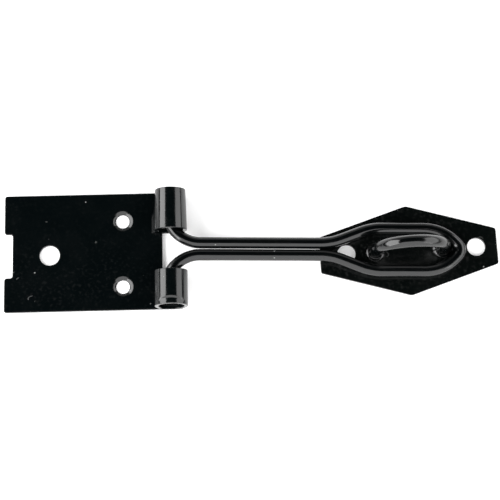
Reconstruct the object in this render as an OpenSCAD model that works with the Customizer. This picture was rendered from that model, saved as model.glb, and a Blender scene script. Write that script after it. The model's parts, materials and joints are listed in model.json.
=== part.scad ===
// Wire hasp and staple for a shed door or gate, as it lies closed on a flat surface.
// The origin is the centre of the hinge plate's bolt hole, on the plate's back face.
// +X runs from the hinge plate to the staple, and +Z points away from the door.

/* [Sheet steel] */
// Thickness of the sheet that both plates are pressed from
sheet_t = 1.2; // [1:0.1:2]
// Radius of the plates' cut corners
corner_r = 0.8; // [0.2:0.1:2]

/* [Hinge plate] */
// Length from the free end to the step between the knuckles
plate_l = 52; // [44:0.5:70]
// Width across the door
plate_w = 39; // [34:0.5:60]
// How far the middle of the plate lies to one side of its row of holes
plate_shift = 0.8; // [0:0.1:1.5]
// Depth of the notch in the free end
notch_depth = 2.7; // [1.5:0.1:5]
// Width of the notch
notch_w = 14.6; // [10:0.1:18]
// Diameter of the bolt hole
bolt_hole_d = 6.6; // [5:0.1:9]
// From the free end to the centre of the bolt hole
bolt_hole_inset = 14.9; // [11:0.1:20]
// Diameter of each screw hole
screw_hole_d = 4.4; // [3:0.1:5]
// Diameter of the countersink at the front face
countersink_d = 6.9; // [6:0.1:8]
// Plain wall that the countersink leaves at the back face
screw_land = 0.4; // [0.2:0.1:0.8]
// Spacing of the two screw holes
screw_spacing = 21.9; // [18:0.1:26]
// From the step between the knuckles back to the screw holes
screw_inset = 13.1; // [11:0.1:18]

/* [Knuckles] */
// Clear gap between the two knuckles
knuckle_gap = 13.3; // [11:0.1:16]
// Room between the wire and the bore, at the mouth where an elbow enters and at the end of a pin
knuckle_play = 0.54; // [0.3:0.02:1.2]
// How far the knuckles' axis stands past the step
knuckle_reach = 3; // [2:0.1:5]
// Slit between the rolled-over edge and the front of the plate
seam_gap = 0.2; // [0.1:0.05:0.4]

/* [Wire hasp] */
// Diameter of the wire
wire_d = 3.8; // [3:0.1:4.4]
// Reach from the knuckles' axis to the tip of the loop
hasp_reach = 96.6; // [84:0.2:125]
// Gap between the two legs
leg_gap = 0.2; // [0.1:0.05:1]
// Bend radius of the elbows, to the middle of the wire
elbow_r = 10.9; // [9:0.1:13.5]
// How far each pin stops short of the outer end of its knuckle
pin_short = 2; // [1.5:0.1:4]
// Room on each side of the staple's bar inside the loop
loop_room = 3.2; // [3:0.1:6]
// Room between the staple's nearer foot and the inside of the loop's tip
tip_room = 1.8; // [1.6:0.1:4]
// How far the staple's other foot stands back into the throat of the loop
throat_overlap = 2.2; // [0:0.1:4]
// Bend radius where the legs part, to the middle of the wire
throat_r = 19.5; // [12:0.5:22]
// Turn of each of those bends, in degrees
throat_turn = 21; // [20:1:28]
// Turn of the shoulder before the nose, in degrees
shoulder_turn = 50; // [46:1:56]
// Bend radius of the nose, to the middle of the wire
nose_r = 2.8; // [2.4:0.1:3.6]
// Gap between the lowered loop and the front of the staple plate
loop_rest_gap = 0.15; // [0.1:0.05:0.4]
// Play that lets the wire stand out of square in its knuckles, in degrees
hasp_skew = 1.35; // [0:0.05:1.5]
// Side play that the wire has taken up towards +Y
hasp_shift = 0.58; // [0:0.02:0.6]

/* [Staple plate] */
// From the staple's far foot to the outer bolt hole
hex_outer_beyond = 11.3; // [9:0.1:18]
// From the staple's near foot to the inner bolt hole
hex_inner_beyond = 9.5; // [8:0.1:10.2]
// From the outer bolt hole to the cut end beyond it
hex_hole_edge = 6.9; // [5:0.1:12]
// Width between the two side points
hex_w = 29.9; // [24:0.1:40]
// Length of each cut end
hex_end = 11.9; // [10:0.1:16]
// Diameter of the bolt holes
hex_hole_d = 6; // [5:0.1:7.2]
// How far the plate's middle lies from the line of the hasp
hex_aside = 0.2; // [0:0.05:0.3]
// How far the loose plate is turned, in degrees
hex_turn = 1.85; // [0:0.05:2]

/* [Staple] */
// Diameter of the staple's bar
staple_bar_d = 4; // [3.4:0.1:5]
// Spacing of the two feet
staple_span = 22; // [18:0.2:28]
// Height of the crown above the front of the plate
staple_h = 17.9; // [16:0.1:24]
// Diameter of the spigot on each foot
spigot_d = 3.2; // [2.6:0.1:3.4]
// Diameter of the riveted end at the back face
rivet_d = 4.6; // [4.4:0.1:5.4]
// Depth of the riveted end
rivet_depth = 0.5; // [0.3:0.1:0.8]

/* [Hidden] */
$fn = 96;
enamel = [0.03, 0.035, 0.04];
// Overshoot of a cutter past the face that it opens
cut = 1;
// Rise and length of the collars that tie the wire's lengths together
collar_rise = 0.01;
collar_l = 0.1;

free_end_x = -bolt_hole_inset;
step_x = free_end_x + plate_l;
screw_x = step_x - screw_inset;
plate_low_y = plate_shift - plate_w / 2;
plate_high_y = plate_shift + plate_w / 2;

leg_y = (wire_d + leg_gap) / 2;
// An elbow ends inside its knuckle: how deep, how far it has strayed and how steep it is at the mouth
elbow_depth = leg_y + elbow_r + hasp_shift - knuckle_gap / 2;
elbow_stray = elbow_r - sqrt(elbow_r * elbow_r - elbow_depth * elbow_depth);
elbow_slope = asin(elbow_depth / elbow_r);
pin_end_y = plate_w / 2 - pin_short;
pin_l = pin_end_y - leg_y - elbow_r;
// What the wire takes up in front of the pins' line at the mouth, and behind it at the end of a pin
front_room = elbow_stray + wire_d / 2 / cos(elbow_slope) + knuckle_gap / 2 * sin(hasp_skew);
back_room = wire_d / 2 + pin_end_y * sin(hasp_skew);
// The pins sit behind the knuckles' axis, so that the bore has the same play in front and behind
pin_back = (front_room - back_room) / 2;
bore_r = (front_room + back_room) / 2 + knuckle_play;
barrel_r = bore_r + sheet_t;
axis_x = step_x + knuckle_reach;
axis_z = barrel_r;

loop_y = staple_bar_d / 2 + loop_room + wire_d / 2;
// The two bends of the throat and the straight between them carry a leg out to the loop's side
throat_run = (loop_y - leg_y - 2 * throat_r * (1 - cos(throat_turn))) / sin(throat_turn);
throat_l = 2 * throat_r * sin(throat_turn) + throat_run * cos(throat_turn);
// The shoulder and the nose bring the side back to the middle
shoulder_r = (loop_y - nose_r * cos(shoulder_turn)) / (1 - cos(shoulder_turn));
nose_l = shoulder_r * sin(shoulder_turn) + nose_r * (1 - sin(shoulder_turn)) + wire_d / 2;
// The loop's straight sides reach back from the nose far enough to take the whole staple
foot_x = hasp_reach - wire_d - tip_room - staple_bar_d / 2;
loop_side = hasp_reach - nose_l - (foot_x - staple_span) - throat_overlap;
leg_l = hasp_reach + pin_back - elbow_r - throat_l - loop_side - nose_l;
// The loop is let down until its tip is just clear of the staple plate
hasp_tilt = asin((axis_z - sheet_t - loop_rest_gap - wire_d / 2) / (hasp_reach - wire_d / 2));

hex_x = foot_x - staple_span / 2;
hex_l = staple_span + 2 * (hex_outer_beyond + hex_hole_edge);
crown_r = staple_span / 2;
staple_leg_l = staple_h - staple_bar_d / 2 - crown_r;

// A hairline collar over the joint of two lengths, which ties them into one solid
module joint_collar(d) {
    rotate([0, 90, 0]) cylinder(d = d + 2 * collar_rise, h = collar_l, center = true);
}

// A straight length of round bar along +X, with what follows placed at its far end
module run(length, d) {
    rotate([0, 90, 0]) cylinder(d = d, h = length);
    translate([length, 0, 0]) {
        if ($children > 0) joint_collar(d);
        children();
    }
}

// A bend to the left of the travel along +X, with what follows placed at its far end
module turn_left(radius, angle, d) {
    translate([0, radius, 0]) {
        rotate([0, 0, -90]) rotate_extrude(angle = angle) translate([radius, 0]) circle(d = d);
        rotate([0, 0, angle]) translate([0, -radius, 0]) {
            if ($children > 0) joint_collar(d);
            children();
        }
    }
}

// The same bend to the right
module turn_right(radius, angle, d) {
    mirror([0, 1, 0]) turn_left(radius, angle, d) mirror([0, 1, 0]) children();
}

// A flat blank with rounded corners, between two opposite corner points
module blank(low, high, r) {
    translate([low[0] + r, low[1]]) square([high[0] - low[0] - 2 * r, high[1] - low[1]]);
    translate([low[0], low[1] + r]) square([high[0] - low[0], high[1] - low[1] - 2 * r]);
    for (x = [low[0] + r, high[0] - r])
        for (y = [low[1] + r, high[1] - r])
            translate([x, y]) circle(r = r);
}

// The flat of the hinge plate, with its tongues still straight
module hinge_blank() {
    difference() {
        blank([free_end_x, plate_low_y], [axis_x, plate_high_y], corner_r);
        blank([free_end_x - 2 * cut, -notch_w / 2], [free_end_x + notch_depth, notch_w / 2], corner_r);
        translate([step_x, -knuckle_gap / 2]) square([knuckle_reach + cut, knuckle_gap]);
    }
    // The tongues run on square-cut into the roll
    for (y = [plate_low_y, knuckle_gap / 2])
        translate([step_x, y])
            square([knuckle_reach, y < 0 ? -knuckle_gap / 2 - y : plate_high_y - y]);
}

// One rolled knuckle, from one end to the other along Y
module knuckle(from_y, to_y) {
    translate([axis_x, from_y, axis_z]) rotate([-90, 0, 0]) cylinder(r = barrel_r, h = to_y - from_y);
}

// The bore of a knuckle and the slit where the rolled edge meets the plate
module knuckle_cut(from_y, to_y) {
    length = to_y - from_y + 2 * cut;
    translate([axis_x, from_y - cut, axis_z])
        rotate([-90, 0, 0]) cylinder(r = bore_r, h = length);
    translate([axis_x - barrel_r, from_y - cut, sheet_t]) cube([barrel_r, length, seam_gap]);
}

// A screw hole with its countersink open to the front face
module screw_hole() {
    translate([0, 0, -cut]) cylinder(d = screw_hole_d, h = sheet_t + 2 * cut);
    translate([0, 0, screw_land])
        cylinder(d1 = screw_hole_d, d2 = countersink_d, h = sheet_t - screw_land);
}

module hinge_plate() {
    color(enamel) difference() {
        union() {
            linear_extrude(sheet_t) hinge_blank();
            knuckle(plate_low_y, -knuckle_gap / 2);
            knuckle(knuckle_gap / 2, plate_high_y);
        }
        knuckle_cut(plate_low_y, -knuckle_gap / 2);
        knuckle_cut(knuckle_gap / 2, plate_high_y);
        translate([0, 0, -cut]) cylinder(d = bolt_hole_d, h = sheet_t + 2 * cut);
        for (side = [-1, 1]) translate([screw_x, side * screw_spacing / 2, 0]) screw_hole();
    }
}

// The wire in its own plane, bent in order from the end of one pin to the end of the other
module bent_wire() {
    translate([-pin_back, pin_end_y, 0]) rotate([0, 0, -90])
        run(pin_l, wire_d)
        turn_left(elbow_r, 90, wire_d)
        run(leg_l, wire_d)
        turn_left(throat_r, throat_turn, wire_d)
        run(throat_run, wire_d)
        turn_right(throat_r, throat_turn, wire_d)
        run(loop_side, wire_d)
        turn_right(shoulder_r, shoulder_turn, wire_d)
        turn_right(nose_r, 180 - 2 * shoulder_turn, wire_d)
        turn_right(shoulder_r, shoulder_turn, wire_d)
        run(loop_side, wire_d)
        turn_right(throat_r, throat_turn, wire_d)
        run(throat_run, wire_d)
        turn_left(throat_r, throat_turn, wire_d)
        run(leg_l, wire_d)
        turn_left(elbow_r, 90, wire_d)
        run(pin_l, wire_d);
}

// The hasp's own place: the knuckles' axis, with the play that the loose pins allow
module hasp_place() {
    translate([axis_x, hasp_shift, axis_z]) rotate([0, 0, -hasp_skew]) children();
}

module wire_hasp() {
    color(enamel) hasp_place() rotate([0, hasp_tilt, 0]) bent_wire();
}

// The staple side's place: the middle of the loose plate, on the surface that it lies on
module staple_place() {
    hasp_place() translate([hex_x, hex_aside, -axis_z]) rotate([0, 0, hasp_skew + hex_turn]) children();
}

module hex_outline() {
    polygon([
        [-hex_l / 2, -hex_end / 2],
        [0, -hex_w / 2],
        [hex_l / 2, -hex_end / 2],
        [hex_l / 2, hex_end / 2],
        [0, hex_w / 2],
        [-hex_l / 2, hex_end / 2]
    ]);
}

// What a riveted foot fills in the plate, or the hole that it fills
module riveted_foot() {
    cylinder(d = spigot_d, h = sheet_t);
    cylinder(d1 = rivet_d, d2 = spigot_d, h = rivet_depth);
}

module staple_plate() {
    color(enamel) staple_place() difference() {
        linear_extrude(sheet_t) hex_outline();
        for (x = [-staple_span / 2 - hex_inner_beyond, staple_span / 2 + hex_outer_beyond])
            translate([x, 0, -cut]) cylinder(d = hex_hole_d, h = sheet_t + 2 * cut);
        for (side = [-1, 1]) translate([side * staple_span / 2, 0, 0]) riveted_foot();
    }
}

module staple() {
    color(enamel) staple_place() {
        for (side = [-1, 1]) translate([side * staple_span / 2, 0, 0]) {
            riveted_foot();
            translate([0, 0, sheet_t]) cylinder(d = staple_bar_d, h = staple_leg_l);
        }
        translate([0, 0, sheet_t + staple_leg_l]) rotate([90, 0, 0])
            rotate_extrude(angle = 180) translate([crown_r, 0]) circle(d = staple_bar_d);
    }
}

hinge_plate();
wire_hasp();
staple_plate();
staple();
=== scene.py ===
# %% [markdown]
# # Finishing a wire hasp and staple
# The imported model already holds every size and joint of this piece of door hardware: a pressed
# hinge plate, a bent wire hasp that turns in its knuckles, and a loose six-sided plate with a
# staple riveted to it. Here each of the four gets a finished mesh and a coat of black enamel.
# The frame is loaded first, and the box that it fills is kept, to place the floor, the panels and the camera.

# %% Load the frame
import json
import math
import bmesh
import bpy
from mathutils import Matrix, Vector


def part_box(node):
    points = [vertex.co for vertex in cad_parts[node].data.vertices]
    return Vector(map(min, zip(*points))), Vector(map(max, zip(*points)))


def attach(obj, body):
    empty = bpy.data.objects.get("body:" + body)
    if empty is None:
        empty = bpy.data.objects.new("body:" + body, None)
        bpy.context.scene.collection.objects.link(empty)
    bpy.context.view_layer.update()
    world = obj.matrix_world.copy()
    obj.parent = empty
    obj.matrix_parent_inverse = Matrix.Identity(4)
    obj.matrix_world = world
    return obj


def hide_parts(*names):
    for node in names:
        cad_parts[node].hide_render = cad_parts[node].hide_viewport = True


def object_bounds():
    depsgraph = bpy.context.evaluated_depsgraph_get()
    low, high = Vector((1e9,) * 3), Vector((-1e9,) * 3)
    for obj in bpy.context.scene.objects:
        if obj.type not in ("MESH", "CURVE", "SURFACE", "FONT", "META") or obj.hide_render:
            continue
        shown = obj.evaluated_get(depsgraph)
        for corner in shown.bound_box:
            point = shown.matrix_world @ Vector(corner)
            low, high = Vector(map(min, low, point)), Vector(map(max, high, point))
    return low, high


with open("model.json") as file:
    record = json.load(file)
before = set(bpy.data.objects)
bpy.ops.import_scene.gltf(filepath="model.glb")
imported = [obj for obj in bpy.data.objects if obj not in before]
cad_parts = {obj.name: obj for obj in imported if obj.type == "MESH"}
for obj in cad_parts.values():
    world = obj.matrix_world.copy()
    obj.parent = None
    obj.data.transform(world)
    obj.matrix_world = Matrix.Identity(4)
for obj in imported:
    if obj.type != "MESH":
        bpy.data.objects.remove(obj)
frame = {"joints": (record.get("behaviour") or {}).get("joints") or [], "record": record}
cad_low, cad_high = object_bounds()
MM = 0.001
print("the frame fills", [round((high - low) / MM, 1) for low, high in zip(cad_low, cad_high)], "mm")

# %% [markdown]
# ## Reading sizes off the frame
# Sizes could be typed in again, but then a changed model and its finish would part company. So
# whatever the model can tell is read from it: mounts give the holes and the sheet, the joint gives
# the knuckles' axis, and each node's box gives the outline. The work is done in millimetres.

# %% Sizes from the mounts, the joint and the boxes
record = frame["record"]
mounts = {mount["name"]: mount for mount in record["mounts"]}
swing = next(joint for joint in frame["joints"] if joint["name"] == "hasp_swing")


def box_mm(node):
    low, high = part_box(node)
    return low / MM, high / MM


plate_low, plate_high = box_mm("hinge_plate")
hasp_low, hasp_high = box_mm("wire_hasp")
staple_low, staple_high = box_mm("staple")
sheet = mounts["plate_bolt_hole"]["dims"]["length_mm"]
bolt_hole_r = mounts["plate_bolt_hole"]["dims"]["r_mm"]
screw_hole_r = mounts["plate_screw_holes"]["dims"]["hole_r_mm"]
screw_x = mounts["plate_screw_holes"]["pos_m"][0] / MM
screw_spacing = mounts["plate_screw_holes"]["dims"]["spacing_y_mm"]
axis_x, hasp_shift, axis_z = (value / MM for value in swing["pos_m"])
barrel_r = axis_z
bore_r = barrel_r - sheet
wall_middle = (barrel_r + bore_r) / 2
print("sheet", sheet, "mm, knuckles' axis at", round(axis_x, 2), round(axis_z, 2), "mm")

# %% [markdown]
# ## Turning an outline into a finished piece
# A finished piece needs its normals pointing out, smooth shading and its place in its own mesh.
# One helper does that for all four. Enamel rounds every edge, so a second helper bevels whatever
# is sharper than a given angle. A third leaves a hair of flat inside each flat face: without it,
# smooth shading would bend the shine across the whole plate. The short ones gather a face with its
# edges and points, or pick the points or a face out of what an operator hands back.

# %% Helpers for every piece
SHARP = math.radians(35)
FLAT_AREA = 4
HAIR = 0.06


def centre_of(face):
    return face.calc_center_median()


def whole(face):
    return [face, *face.edges, *face.verts]


def all_parts(faces):
    return list({item for face in faces for item in whole(face)})


def points_in(geometry):
    return [item for item in geometry if isinstance(item, bmesh.types.BMVert)]


def last_face(geometry):
    return next(item for item in geometry if isinstance(item, bmesh.types.BMFace))


def soften(bm, edges, radius, segments=3):
    bmesh.ops.bevel(bm, geom=edges, offset=radius, segments=segments, profile=0.5,
                    affect="EDGES", material=-1, clamp_overlap=True)


def sharp_edges(bm):
    return [edge for edge in bm.edges if edge.is_manifold and edge.calc_face_angle() > SHARP]


def hold_flats(bm):
    flats = [face for face in bm.faces if abs(face.normal.z) > 0.9999 and face.calc_area() > FLAT_AREA]
    bmesh.ops.inset_region(bm, faces=flats, thickness=HAIR, depth=0, use_even_offset=True)


def finish_piece(bm, name, body, node, place=Matrix.Identity(4)):
    bmesh.ops.remove_doubles(bm, verts=bm.verts[:], dist=1e-4)
    bmesh.ops.recalc_face_normals(bm, faces=bm.faces[:])
    bmesh.ops.transform(bm, matrix=Matrix.Scale(MM, 4) @ place, verts=bm.verts[:])
    mesh = bpy.data.meshes.new(name)
    faulty_edges = sum(not edge.is_manifold for edge in bm.edges)
    bm.to_mesh(mesh)
    bm.free()
    mesh.shade_smooth()
    piece = bpy.data.objects.new(name, mesh)
    bpy.context.scene.collection.objects.link(piece)
    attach(piece, body)
    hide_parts(node)
    print(name, "has", len(mesh.polygons), "faces and", faulty_edges, "open or forked edges")
    return piece


# %% [markdown]
# ## The blank: a flat plate with holes
# Both plates start as a sheet-steel blank. A Boolean would cut the holes, but it leaves
# awkward faces behind. Here the outline's corners are rounded with a vertex bevel, the holes are drawn
# as circles, and one fill closes everything between them. Extruding that fill gives the sheet.

# %% Draw a blank and give it its thickness
HOLE_SIDES = 64


def blank(corners, soft_corners, corner_r, holes, thickness):
    bm = bmesh.new()
    bm.faces.new([bm.verts.new((x, y, thickness)) for x, y in corners])
    chosen = [vert for vert in bm.verts if soft_corners(vert.co)]
    bmesh.ops.bevel(bm, geom=chosen, offset=corner_r, segments=5, profile=0.5,
                    affect="VERTICES", material=-1)
    bmesh.ops.delete(bm, geom=bm.faces[:], context="FACES_ONLY")
    for x, y, radius in holes:
        bmesh.ops.create_circle(bm, radius=radius, segments=HOLE_SIDES,
                                matrix=Matrix.Translation((x, y, thickness)))
    bmesh.ops.triangle_fill(bm, edges=bm.edges[:], use_beauty=True, normal=(0, 0, 1))
    grown = bmesh.ops.extrude_face_region(bm, geom=bm.faces[:], use_keep_orig=True)["geom"]
    bmesh.ops.translate(bm, verts=points_in(grown), vec=(0, 0, -thickness))
    bmesh.ops.recalc_face_normals(bm, faces=bm.faces[:])
    return bm


def hole_ring(bm, x, y, radius, height):
    return [vert for vert in bm.verts if abs(vert.co.z - height) < 1e-4
            and abs(math.hypot(vert.co.x - x, vert.co.y - y) - radius) < 1e-3]


def resize_ring(bm, ring, x, y, factor):
    bmesh.ops.scale(bm, vec=(factor, factor, 1), verts=ring, space=Matrix.Translation((-x, -y, 0)))


# %% [markdown]
# ## The hinge plate
# On the real plate two tongues are left standing past the edge and rolled over into knuckles,
# which carry the pins of the wire. The same is done here: the end face of each tongue is spun
# about the knuckles' axis. A tube laid on the plate would be quicker, but it would miss the
# rolled edge that shows where a tongue's tip comes back down onto the plate.

# %% The flat of the hinge plate
edge_set_back = 3
gap_half = 6.65
notch_depth = 2.7
notch_half = 7.3
plate_corner_r = 0.8
countersink_r = 3.45
screw_land = 0.4
notch_x = plate_low.x + notch_depth
free_end_x = notch_x + 1
step_x = axis_x - edge_set_back
screw_centres = [(screw_x, side * screw_spacing / 2) for side in (-1, 1)]

plate_corners = [
    (plate_low.x, plate_low.y), (axis_x, plate_low.y), (axis_x, -gap_half), (step_x, -gap_half),
    (step_x, gap_half), (axis_x, gap_half), (axis_x, plate_high.y), (plate_low.x, plate_high.y),
    (plate_low.x, notch_half), (notch_x, notch_half), (notch_x, -notch_half), (plate_low.x, -notch_half),
]
hinge = blank(
    plate_corners,
    lambda corner: corner.x < free_end_x,
    plate_corner_r,
    [(0, 0, bolt_hole_r)] + [(x, y, countersink_r) for x, y in screw_centres],
    sheet,
)
print("the blank has", len(hinge.faces), "faces")


# %% [markdown]
# ## Countersinks
# A countersink is a hole whose front rim is wide and whose back rim is narrow. The holes were
# drawn at the wide size, so the back rims are scaled in. A cut just above the back face then
# leaves the short plain wall that a real countersink has.

# %% Taper the screw holes
for x, y in screw_centres:
    walls = [face for face in hinge.faces if abs(face.normal.z) < 0.5
             and math.hypot(centre_of(face).x - x, centre_of(face).y - y) < countersink_r + 0.1]
    bmesh.ops.bisect_plane(hinge, geom=all_parts(walls), dist=1e-5,
                           plane_co=(0, 0, screw_land), plane_no=(0, 0, 1))
    for height in (0, screw_land):
        resize_ring(hinge, hole_ring(hinge, x, y, countersink_r, height), x, y, screw_hole_r / countersink_r)
print("countersinks open from", screw_hole_r, "to", countersink_r, "mm")

# %% [markdown]
# ## Rolling the knuckles
# Each tongue is spun most of the way round, and the tip is drawn on down to the plate. A strip's
# tip never rolls quite tight. The lower one is tucked under its barrel, while the upper one
# stands out as a lip, which is tucked away later where it nears the outer end.

# %% Roll the tongues and draw out their tips
ROLL = math.radians(290)
ROLL_STEPS = 72
EDGE_R = 0.28
FLAT_WITHIN = math.radians(0.5)
lip_stands_out = 1.15
lower_tip_back = 4.2
tip_above_plate = 0.15
tip_slant = 1.1


def roll_tongue(bm, end_face):
    rolled = bmesh.ops.spin(bm, geom=whole(end_face), cent=(axis_x, 0, axis_z), axis=(0, -1, 0),
                            angle=ROLL, steps=ROLL_STEPS)
    return last_face(rolled["geom_last"])


def draw_out(bm, face, outer_x, inner_x):
    grown = bmesh.ops.extrude_discrete_faces(bm, faces=[face])["faces"][0]
    for vert in grown.verts:
        outer = math.hypot(vert.co.x - axis_x, vert.co.z - axis_z) > wall_middle
        vert.co.x = outer_x if outer else inner_x
        vert.co.z = sheet + tip_above_plate


tongue_ends = [face for face in hinge.faces if face.normal.x > 0.9 and centre_of(face).x > axis_x - 0.1]
for tongue_end in tongue_ends:
    is_upper = centre_of(tongue_end).y > 0
    tip = roll_tongue(hinge, tongue_end)
    tip_x = axis_x - barrel_r - lip_stands_out if is_upper else axis_x - lower_tip_back
    draw_out(hinge, tip, tip_x, tip_x + tip_slant)

hinge.normal_update()
bmesh.ops.dissolve_limit(hinge, angle_limit=FLAT_WITHIN, verts=hinge.verts[:], edges=hinge.edges[:])
soften(hinge, sharp_edges(hinge), EDGE_R)
print("the knuckles are", round(2 * barrel_r, 1), "mm across")


# %% [markdown]
# ## Dressing the knuckles
# Smooth shading blends normals across a whole face, and a barrel's faces run its full length, so
# a ring is cut just inside every end to keep the rounding's tilt out of the barrel. More rings
# give points to two shapes. The lower knuckle was dressed over at its outer end, which left the
# rim leaning in at the top and a dent behind it, a shallow step along an arch. The upper one's
# lip is tucked away along a rising power curve, and its barrel narrows a little towards its end.

# %% Sizes of the dent, the lip and the taper
upper_end_scale = 0.94
dent_length = 2.6
dent_half_width = 5.0
dent_depth = 0.42
dent_slope = 1.0
end_lean = 0.65
lean_fades_over = 4.0
lip_full_to = 11
lip_gone_at = 17.5
lip_tuck = 2.0
lip_tuck_power = 2.5
lip_root_z = 3.6
lip_behind_x = axis_x - 0.8 * barrel_r
print("the lip fades from", lip_full_to, "to", lip_gone_at, "mm along the upper knuckle")

# %% Cut the rings
ring_inset = EDGE_R + 0.05
dent_rings = 17
dent_ring_step = 0.2
lip_rings = 9


def cut_across(bm, y):
    barrel = [face for face in bm.faces if centre_of(face).x > axis_x - barrel_r - 0.1]
    bmesh.ops.bisect_plane(bm, geom=all_parts(barrel), dist=1e-5, plane_co=(0, y, 0), plane_no=(0, 1, 0))


for y in (gap_half + ring_inset, plate_high.y - ring_inset, -gap_half - ring_inset):
    cut_across(hinge, y)
for step in range(dent_rings):
    cut_across(hinge, plate_low.y + ring_inset + dent_ring_step * step)
for step in range(lip_rings):
    cut_across(hinge, lip_full_to + (lip_gone_at - lip_full_to) * step / (lip_rings - 1))
print("the hinge plate has", len(hinge.faces), "faces once the rings are cut")


# %% Shape the lip and both ends
def smooth_step(value):
    value = min(1, max(0, value))
    return value * value * (3 - 2 * value)


def tuck_lip(vert):
    lowness = min(1, max(0, (lip_root_z - vert.co.z) / (lip_root_z - sheet)))
    tucked = min(1, (vert.co.y - lip_full_to) / (lip_gone_at - lip_full_to)) ** lip_tuck_power
    vert.co.x += lip_tuck * tucked * lowness


def dress_lower_end(vert, spoke):
    from_end = vert.co.y - plate_low.y
    height_share = vert.co.z / (2 * barrel_r)
    vert.co.y += end_lean * height_share * smooth_step(1 - from_end / lean_fades_over)
    if spoke.length > wall_middle and spoke.y > 0:
        sideways = min(1, abs(spoke.x) / dent_half_width)
        arch = dent_length * math.sqrt(1 - sideways * sideways)
        inside = smooth_step((arch - from_end) / dent_slope + 0.5)
        spoke *= 1 - dent_depth * inside * (1 - sideways ** 4) / spoke.length
    return spoke


def narrow_upper_end(vert, spoke):
    narrowing = (1 - upper_end_scale) * (vert.co.y - gap_half) / (plate_high.y - gap_half)
    spoke.x *= 1 - narrowing
    spoke.y -= narrowing * (spoke.y + axis_z)
    return spoke


for vert in hinge.verts:
    if vert.co.y > lip_full_to and vert.co.z > sheet + 0.05 and vert.co.x < lip_behind_x:
        tuck_lip(vert)
    spoke = Vector((vert.co.x - axis_x, vert.co.z - axis_z))
    if vert.co.z < sheet + 0.3 or spoke.length > barrel_r + 0.01:
        continue
    if vert.co.y < -gap_half:
        spoke = dress_lower_end(vert, spoke)
    elif vert.co.y > gap_half:
        spoke = narrow_upper_end(vert, spoke)
    vert.co.x, vert.co.z = axis_x + spoke.x, axis_z + spoke.y
hold_flats(hinge)
hinge_piece = finish_piece(hinge, "hinge_plate_enamelled", "hinge_side", "hinge_plate")

# %% [markdown]
# ## The wire hasp
# The hasp is one length of round wire, bent in order from the end of one pin to the end of the
# other. A curve with a bevel would do, but here each straight is an extrude and each bend is a
# spin about its own centre, just as the wire goes round the bender's pegs. The wire is made in
# its own flat plane, and laid in its place at the end.

# %% Sizes of the wire, and where its bends lie
wire_r = 1.9
leg_y = wire_r + 0.1
elbow_r = 10.9
pin_end_y = 17.5
throat_r = 19.5
throat_turn = math.radians(21)
loop_y = 7.1
shoulder_turn = math.radians(50)
nose_r = 2.8
hasp_skew = math.radians(1.35)
rest_gap = 0.15
pin_back = 1.344
loop_side = 13.48

hasp_reach = (hasp_high.x - axis_x) / math.cos(hasp_skew)
hasp_tilt = math.asin((axis_z - sheet - rest_gap - wire_r) / (hasp_reach - wire_r))
pin_l = pin_end_y - leg_y - elbow_r
throat_run = (loop_y - leg_y - 2 * throat_r * (1 - math.cos(throat_turn))) / math.sin(throat_turn)
throat_l = 2 * throat_r * math.sin(throat_turn) + throat_run * math.cos(throat_turn)
shoulder_r = (loop_y - nose_r * math.cos(shoulder_turn)) / (1 - math.cos(shoulder_turn))
nose_l = shoulder_r * math.sin(shoulder_turn) + nose_r * (1 - math.sin(shoulder_turn)) + wire_r
leg_l = hasp_reach + pin_back - elbow_r - throat_l - loop_side - nose_l
print("the hasp reaches", round(hasp_reach, 2), "mm and leans", round(math.degrees(hasp_tilt), 2), "degrees")

# %% [markdown]
# A bender's two moves are enough: `run` draws the end of the wire straight on, and `turn` swings
# it round a peg. Each takes the wire's end face, its place and its heading, and hands them on.
# The face goes into each operator with its edges and points. Given the face alone, the extrude
# keeps the old face as a cap inside the wire, which tilts the shading at every joint.

# %% The bender's two moves
WIRE_SIDES = 48
PIN_END_R = 0.5
BEND_STEP = math.radians(3)


def run(bm, end, length):
    face, place, heading = end
    move = Vector((math.cos(heading), math.sin(heading), 0)) * length
    grown = bmesh.ops.extrude_face_region(bm, geom=whole(face))["geom"]
    bmesh.ops.translate(bm, vec=move, verts=points_in(grown))
    return last_face(grown), place + move, heading


def turn(bm, end, radius, angle):
    face, place, heading = end
    side = math.copysign(1, angle)
    peg = place + Vector((-math.sin(heading), math.cos(heading), 0)) * radius * side
    steps = max(4, round(abs(angle) / BEND_STEP))
    bent = bmesh.ops.spin(bm, geom=whole(face), cent=peg, axis=(0, 0, 1), angle=angle, steps=steps)
    place = peg + Matrix.Rotation(angle, 3, "Z") @ (place - peg)
    return last_face(bent["geom_last"]), place, heading + angle


# %% Bend the wire
quarter = math.pi / 2
straight_or_bend = [
    (pin_l,), (elbow_r, quarter), (leg_l,), (throat_r, throat_turn), (throat_run,),
    (throat_r, -throat_turn), (loop_side,), (shoulder_r, -shoulder_turn),
    (nose_r, 2 * shoulder_turn - math.pi), (shoulder_r, -shoulder_turn), (loop_side,),
    (throat_r, -throat_turn), (throat_run,), (throat_r, throat_turn), (leg_l,), (elbow_r, quarter), (pin_l,),
]
wire = bmesh.new()
start = Vector((-pin_back, pin_end_y, 0))
bmesh.ops.create_circle(wire, cap_ends=True, radius=wire_r, segments=WIRE_SIDES,
                        matrix=Matrix.Translation(start) @ Matrix.Rotation(quarter, 4, "X"))
end = (wire.faces[:][0], start, -quarter)
for move in straight_or_bend:
    end = run(wire, end, *move) if len(move) == 1 else turn(wire, end, *move)
bmesh.ops.holes_fill(wire, edges=[edge for edge in wire.edges if edge.is_boundary])
soften(wire, sharp_edges(wire), PIN_END_R, segments=4)
hasp_place = (
    Matrix.Translation((axis_x, hasp_shift, axis_z))
    @ Matrix.Rotation(-hasp_skew, 4, "Z")
    @ Matrix.Rotation(hasp_tilt, 4, "Y")
)
hasp_piece = finish_piece(wire, "wire_hasp_enamelled", "hasp", "wire_hasp", hasp_place)

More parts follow.
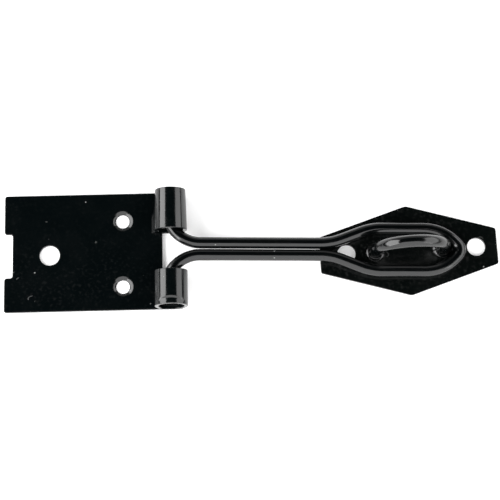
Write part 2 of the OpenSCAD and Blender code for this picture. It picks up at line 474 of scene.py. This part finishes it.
# %% [markdown]
# ## The staple plate
# This is the loose half, a six-sided plate with two bolt holes and two smaller holes that take
# the riveted feet of the staple. It is the same kind of blank. The bolt holes are not evenly
# placed, so the plate's middle is taken from the padlock's eye and the holes from their own
# mount. The riveted holes are opened out at the back, where the feet were hammered over.

# %% The six-sided plate
bolt_mount = mounts["staple_plate_bolt_holes"]
eye_mount = mounts["padlock_eye"]
hex_half = 29.2
hex_w_half = 14.95
hex_end_half = 5.95
hex_corner_r = 0.6
hex_edge_r = 0.24
hex_hole_r = bolt_mount["dims"]["hole_r_mm"]
spigot_r = 1.6
rivet_r = 2.3
rivet_room = 0.1
foot_x = 11

hex_turn = math.atan2(-eye_mount["axis"][0], eye_mount["axis"][1])
hex_middle = Vector((*eye_mount["pos_m"][:2], 0)) / MM
staple_place = Matrix.Translation(hex_middle) @ Matrix.Rotation(hex_turn, 4, "Z")
bolt_middle = (staple_place.inverted() @ (Vector(bolt_mount["pos_m"]) / MM)).x
bolt_xs = [bolt_middle + side * bolt_mount["dims"]["pcd_mm"] / 2 for side in (-1, 1)]

hex_corners = [
    (-hex_half, -hex_end_half), (0, -hex_w_half), (hex_half, -hex_end_half),
    (hex_half, hex_end_half), (0, hex_w_half), (-hex_half, hex_end_half),
]
six_sided = blank(
    hex_corners,
    lambda corner: True,
    hex_corner_r,
    [(x, 0, hex_hole_r) for x in bolt_xs] + [(side * foot_x, 0, spigot_r) for side in (-1, 1)],
    sheet,
)
for side in (-1, 1):
    back_rim = hole_ring(six_sided, side * foot_x, 0, spigot_r, 0)
    resize_ring(six_sided, back_rim, side * foot_x, 0, (rivet_r + rivet_room) / spigot_r)
bmesh.ops.dissolve_limit(six_sided, angle_limit=FLAT_WITHIN, verts=six_sided.verts[:],
                         edges=six_sided.edges[:])
soften(six_sided, sharp_edges(six_sided), hex_edge_r)
hold_flats(six_sided)
print("bolt holes stand at", [round(x, 2) for x in bolt_xs], "mm from the plate's middle")
plate_piece = finish_piece(six_sided, "staple_plate_enamelled", "staple_side", "staple_plate",
                           staple_place)

# %% [markdown]
# ## The staple
# The staple is a round bar bent into an arch, with each foot shouldered down to a spigot and
# riveted. Thick enamel gathers where the bar meets the plate, so each foot gets a small
# fillet. Extruding and scaling one round face up the first foot, over the arch with one
# spin, and down the other foot makes all of it in a single skin. Each pair in `fillet` is a
# height above the sheet and how far the enamel stands out from the bar there.

# %% Raise the foot, spin the arch and come down again
bar_r = 2
arch_r = foot_x
leg_top = staple_high.z - bar_r - arch_r
back_face = 0.03
rivet_head_top = 0.5
rivet_edge_r = 0.25
spigot_top = sheet - 0.05
ARCH_STEPS = 60
fillet = [(0, 1.2), (0.14, 0.78), (0.36, 0.42), (0.65, 0.17), (1, 0.04), (1.4, 0)]
foot_profile = [(rivet_head_top, spigot_r), (spigot_top, spigot_r)]
foot_profile += [(sheet + height, bar_r + stands_out) for height, stands_out in fillet]


def lift(bm, face, height, radius, centre_x):
    now_r = max(math.hypot(vert.co.x - centre_x, vert.co.y) for vert in face.verts)
    grown = bmesh.ops.extrude_face_region(bm, geom=whole(face))["geom"]
    ring = points_in(grown)
    bmesh.ops.translate(bm, verts=ring, vec=(0, 0, height - ring[0].co.z))
    resize_ring(bm, ring, centre_x, 0, radius / now_r)
    return last_face(grown)


bar = bmesh.new()
bmesh.ops.create_circle(bar, cap_ends=True, radius=rivet_r, segments=WIRE_SIDES,
                        matrix=Matrix.Translation((-foot_x, 0, back_face)))
face = bar.faces[:][0]
for height, radius in foot_profile:
    face = lift(bar, face, height, radius, -foot_x)
face = lift(bar, face, leg_top, bar_r, -foot_x)
arch = bmesh.ops.spin(bar, geom=whole(face), cent=(0, 0, leg_top), axis=(0, 1, 0),
                      angle=math.pi, steps=ARCH_STEPS)
face = last_face(arch["geom_last"])
for height, radius in reversed(foot_profile):
    face = lift(bar, face, height, radius, foot_x)
face = lift(bar, face, back_face, rivet_r, foot_x)
bmesh.ops.holes_fill(bar, edges=[edge for edge in bar.edges if edge.is_boundary])
rivet_rims = [edge for edge in sharp_edges(bar) if all(vert.co.z < back_face + 0.01 for vert in edge.verts)]
soften(bar, rivet_rims, rivet_edge_r)
staple_piece = finish_piece(bar, "staple_enamelled", "staple_side", "staple", staple_place)

# %% [markdown]
# ## Mixing the enamel
# Thick black enamel is nearly perfect black under a clear gloss, so nearly all that shows is
# reflection. What makes it read as paint is what breaks the reflection: a fine orange peel,
# broad slow waves, grains of dust caught in the wet coat, and small curved scuffs. All of
# it is worked out from Object coordinates, so it stays put on each piece.

# %% Helpers for building a node tree
def new_finish(name):
    material = bpy.data.materials.new(name)
    material.use_nodes = True
    tree = material.node_tree
    return material, tree, tree.nodes["Principled BSDF"]


def add(tree, kind, inputs=None, **settings):
    node = tree.nodes.new(kind)
    for key, value in settings.items():
        setattr(node, key, value)
    for key, value in (inputs or {}).items():
        if isinstance(value, bpy.types.NodeSocket):
            tree.links.new(value, node.inputs[key])
        else:
            node.inputs[key].default_value = value
    return node


def math_node(tree, operation, first, second=0.0, clamp=False):
    return add(tree, "ShaderNodeMath", {0: first, 1: second}, operation=operation, use_clamp=clamp).outputs[0]


def fade(tree, value, start, stop, low=0.0, high=1.0):
    inputs = {"Value": value, "From Min": start, "From Max": stop, "To Min": low, "To Max": high}
    return add(tree, "ShaderNodeMapRange", inputs, interpolation_type="SMOOTHSTEP").outputs["Result"]


def noise(tree, place, per_metre, detail=2.0, offset=0.0):
    shifted = add(tree, "ShaderNodeVectorMath", {0: place, 1: (offset, offset, offset)}, operation="ADD")
    inputs = {"Vector": shifted.outputs[0], "Scale": per_metre, "Detail": detail}
    return add(tree, "ShaderNodeTexNoise", inputs).outputs["Fac"]


# %% [markdown]
# Dust grains are the near centres of a cell pattern, and only some cells keep theirs. A scuff is a
# thin ring round the centre of a larger cell. Few cells keep their ring, and a noise about as fine
# as the ring rubs out part of it, which leaves the short hooks that handling leaves on gloss paint.

# %% Grains and scuffs
def keep_some(tree, cells, kept):
    lottery = add(tree, "ShaderNodeSeparateColor", {"Color": cells.outputs["Color"]}).outputs[0]
    return fade(tree, lottery, 1 - kept, 1 - kept + 0.02)


def grains(tree, place, per_metre, size, kept):
    cells = add(tree, "ShaderNodeTexVoronoi", {"Vector": place, "Scale": per_metre})
    spot = fade(tree, cells.outputs["Distance"], size, size * 0.4)
    return math_node(tree, "MULTIPLY", keep_some(tree, cells, kept), spot)


def scuffs(tree, place, per_metre, radius, width, kept):
    cells = add(tree, "ShaderNodeTexVoronoi", {"Vector": place, "Scale": per_metre})
    bent = math_node(tree, "MULTIPLY", noise(tree, place, per_metre * 2.5, 1.0), 0.2)
    wavy = math_node(tree, "ADD", cells.outputs["Distance"], bent)
    off_ring = math_node(tree, "ABSOLUTE", math_node(tree, "SUBTRACT", wavy, radius))
    line = fade(tree, off_ring, width, width * 0.3)
    rubbed = fade(tree, noise(tree, place, per_metre * 2.0, 1.0, 0.37), 0.50, 0.56)
    hooks = math_node(tree, "MULTIPLY", line, rubbed)
    return math_node(tree, "MULTIPLY", hooks, keep_some(tree, cells, kept))


# %% [markdown]
# The coat joins these. Counts are per metre, and a grain's or a scuff's size is a share of its own
# cell. The three bumps are far too low to see as shapes: they only bend the shine.

# %% The enamel itself
GRAINS_PER_METRE = 420
GRAIN_SIZE = 0.13
SCUFFS_PER_METRE = 190
SCUFF_RADIUS = 0.32
SCUFF_WIDTH = 0.05
MOTTLE_PER_METRE = 950
CLOUDS_PER_METRE = 45
SHEEN_PER_METRE = 120
SHEEN_SPREAD = 0.08
WAVES_PER_METRE = 85
PEEL_PER_METRE = 620
WAVE_HEIGHT = 0.1 * MM
PEEL_HEIGHT = 0.009 * MM
NIB_HEIGHT = 0.03 * MM
SOIL_COLOUR = (0.16, 0.165, 0.16, 1)
SOIL_ROUGHNESS = 0.35


def enamel(name, tint, gloss, dust, scuffing, scuffed_share, grain_share):
    material, tree, surface = new_finish(name)
    place = add(tree, "ShaderNodeTexCoord").outputs["Object"]
    specks = grains(tree, place, GRAINS_PER_METRE, GRAIN_SIZE, grain_share)
    marks = scuffs(tree, place, SCUFFS_PER_METRE, SCUFF_RADIUS, SCUFF_WIDTH, scuffed_share)
    mottle = fade(tree, noise(tree, place, MOTTLE_PER_METRE, 3.0), 0.5, 0.75)
    cloud = fade(tree, noise(tree, place, CLOUDS_PER_METRE, 2.0, 0.11), 0.4, 0.7, 0.25, 1.0)
    haze = math_node(tree, "MULTIPLY", math_node(tree, "MULTIPLY", mottle, cloud), dust)
    lines = math_node(tree, "MULTIPLY", marks, scuffing)
    soil = math_node(tree, "MAXIMUM", math_node(tree, "MAXIMUM", specks, lines), haze, clamp=True)
    colour = add(tree, "ShaderNodeMix", {"Factor": soil, "A": (*tint, 1), "B": SOIL_COLOUR},
                 data_type="RGBA")
    tree.links.new(colour.outputs["Result"], surface.inputs["Base Color"])
    rough = fade(tree, noise(tree, place, SHEEN_PER_METRE, 3.0, 0.53), 0.3, 0.7, gloss, gloss + SHEEN_SPREAD)
    rougher = math_node(tree, "ADD", rough, math_node(tree, "MULTIPLY", soil, SOIL_ROUGHNESS), clamp=True)
    tree.links.new(rougher, surface.inputs["Roughness"])
    surface.inputs["IOR"].default_value = 1.5
    waves = noise(tree, place, WAVES_PER_METRE, 1.0, 0.2)
    slow = add(tree, "ShaderNodeBump", {"Height": waves, "Distance": WAVE_HEIGHT, "Strength": 1.0})
    pits = noise(tree, place, PEEL_PER_METRE, 1.0)
    peel = add(tree, "ShaderNodeBump", {"Height": pits, "Distance": PEEL_HEIGHT, "Strength": 1.0,
                                        "Normal": slow.outputs["Normal"]})
    nibs = add(tree, "ShaderNodeBump", {"Height": specks, "Distance": NIB_HEIGHT, "Strength": 1.0,
                                        "Normal": peel.outputs["Normal"]})
    tree.links.new(nibs.outputs["Normal"], surface.inputs["Normal"])
    print(name, "is mixed from", len(tree.nodes), "nodes")
    return material


plate_enamel = enamel("plate_enamel", (0.0008, 0.0016, 0.0018), gloss=0.10, dust=0.022,
                      scuffing=0.26, scuffed_share=0.22, grain_share=0.14)
dusty_enamel = enamel("dusty_enamel", (0.0010, 0.0016, 0.0015), gloss=0.15, dust=0.075,
                      scuffing=0.14, scuffed_share=0.20, grain_share=0.20)
wire_enamel = enamel("wire_enamel", (0.0010, 0.0014, 0.0015), gloss=0.11, dust=0.010,
                     scuffing=0.08, scuffed_share=0.10, grain_share=0.05)


# %% Paint the pieces
for piece, coat in ((hinge_piece, plate_enamel), (plate_piece, dusty_enamel),
                    (hasp_piece, wire_enamel), (staple_piece, wire_enamel)):
    piece.data.materials.append(coat)
print("four pieces painted")

# %% [markdown]
# ## Floor, light and camera
# Gloss black shows only what it mirrors. The room overhead is kept dark, so the flats
# stay black, and four soft panels stand round the table, which draw the pale bands along the
# knuckles and the wire. A pale floor lies under everything. The camera sees a pale room, but
# the paint only mirrors the panels.

# %% Pale floor and room
FLOOR_SIZE = 12
FLOOR_GLOW = 0.22
DARK_ROOM = (0.002, 0.002, 0.0022, 1)
PALE_ROOM = (0.95, 0.95, 0.95, 1)


def stand(name, width, height, place, facing):
    bm = bmesh.new()
    bmesh.ops.create_grid(bm, x_segments=2, y_segments=2, size=0.5)
    bmesh.ops.scale(bm, vec=(width, height, 1), verts=bm.verts[:])
    mesh = bpy.data.meshes.new(name)
    bm.to_mesh(mesh)
    bm.free()
    panel = bpy.data.objects.new(name, mesh)
    panel.matrix_world = Matrix.Translation(place) @ facing.to_matrix().to_4x4()
    bpy.context.scene.collection.objects.link(panel)
    return panel


middle = (cad_low + cad_high) / 2
floor_drop = 0.05 * MM
up = Vector((0, 0, 1)).to_track_quat("Z", "Y")
floor = stand("floor", FLOOR_SIZE, FLOOR_SIZE, Vector((middle.x, middle.y, cad_low.z - floor_drop)), up)
floor_paint, floor_tree, floor_surface = new_finish("pale_floor")
floor_place = add(floor_tree, "ShaderNodeTexCoord").outputs["Object"]
floor_tone = fade(floor_tree, noise(floor_tree, floor_place, 30, 2.0), 0.3, 0.7, 0.89, 0.91)
floor_tree.links.new(floor_tone, floor_surface.inputs["Base Color"])
floor_surface.inputs["Roughness"].default_value = 0.9
floor_surface.inputs["Specular IOR Level"].default_value = 0.0
floor_surface.inputs["Emission Color"].default_value = (1, 1, 1, 1)
floor_surface.inputs["Emission Strength"].default_value = FLOOR_GLOW
floor.data.materials.append(floor_paint)

world = bpy.data.worlds.new("room")
bpy.context.scene.world = world
world.use_nodes = True
room = world.node_tree
seen = add(room, "ShaderNodeLightPath").outputs["Is Camera Ray"]
room_tone = add(room, "ShaderNodeMix", {"Factor": seen, "A": DARK_ROOM, "B": PALE_ROOM}, data_type="RGBA")
room.links.new(room_tone.outputs["Result"], room.nodes["Background"].inputs["Color"])


# %% Four soft panels
PANEL_WIDTH = 1.2


def soft_panel(name, side, distance, bottom, top, brightness):
    place = Vector((middle.x, middle.y, 0)) + side * distance + Vector((0, 0, (bottom + top) / 2))
    lamp = bpy.data.lights.new(name, "AREA")
    lamp.shape = "RECTANGLE"
    lamp.size = PANEL_WIDTH
    lamp.size_y = top - bottom
    lamp.energy = brightness * math.pi * PANEL_WIDTH * (top - bottom)
    light = bpy.data.objects.new(name, lamp)
    aim = (-side).to_track_quat("-Z", "Y")
    light.matrix_world = Matrix.Translation(place) @ aim.to_matrix().to_4x4()
    light.visible_camera = False
    bpy.context.scene.collection.objects.link(light)


left, right, near, far = Vector((-1, 0, 0)), Vector((1, 0, 0)), Vector((0, -1, 0)), Vector((0, 1, 0))
soft_panel("left_panel", left, distance=0.6, bottom=0.14, top=0.80, brightness=6.8)
soft_panel("right_panel", right, distance=0.6, bottom=0.10, top=0.74, brightness=3.3)
soft_panel("near_panel", near, distance=0.5, bottom=0.0, top=1.45, brightness=2.7)
soft_panel("far_panel", far, distance=0.6, bottom=0.0, top=0.45, brightness=0.6)
print("four panels lit")

# %% [markdown]
# The camera looks down steeply from the near side, a little short of straight down, through a
# long lens, and is rolled until the wire lies level in the frame.

# %% Camera
focus = Vector((middle.x - 0.36 * MM, middle.y - 0.24 * MM, 0))
stand_off = 429 * MM
height_angle = math.radians(79)
across = Vector((math.cos(hasp_skew), -math.sin(hasp_skew), 0))
toward = Vector((across.y, -across.x, 0))
back = toward * math.cos(height_angle) + Vector((0, 0, math.sin(height_angle)))
above = back.cross(across)
turned = Matrix((across, above, back)).transposed()
lens = bpy.data.cameras.new("camera")
lens.sensor_width = 36
lens.lens = 93.6
lens.clip_start = 0.01
camera = bpy.data.objects.new("camera", lens)
camera.matrix_world = Matrix.Translation(focus + back * stand_off) @ turned.to_4x4()
bpy.context.scene.collection.objects.link(camera)
bpy.context.scene.camera = camera
bpy.context.scene.view_settings.view_transform = "Standard"
print("the camera stands", round(stand_off, 3), "m away")
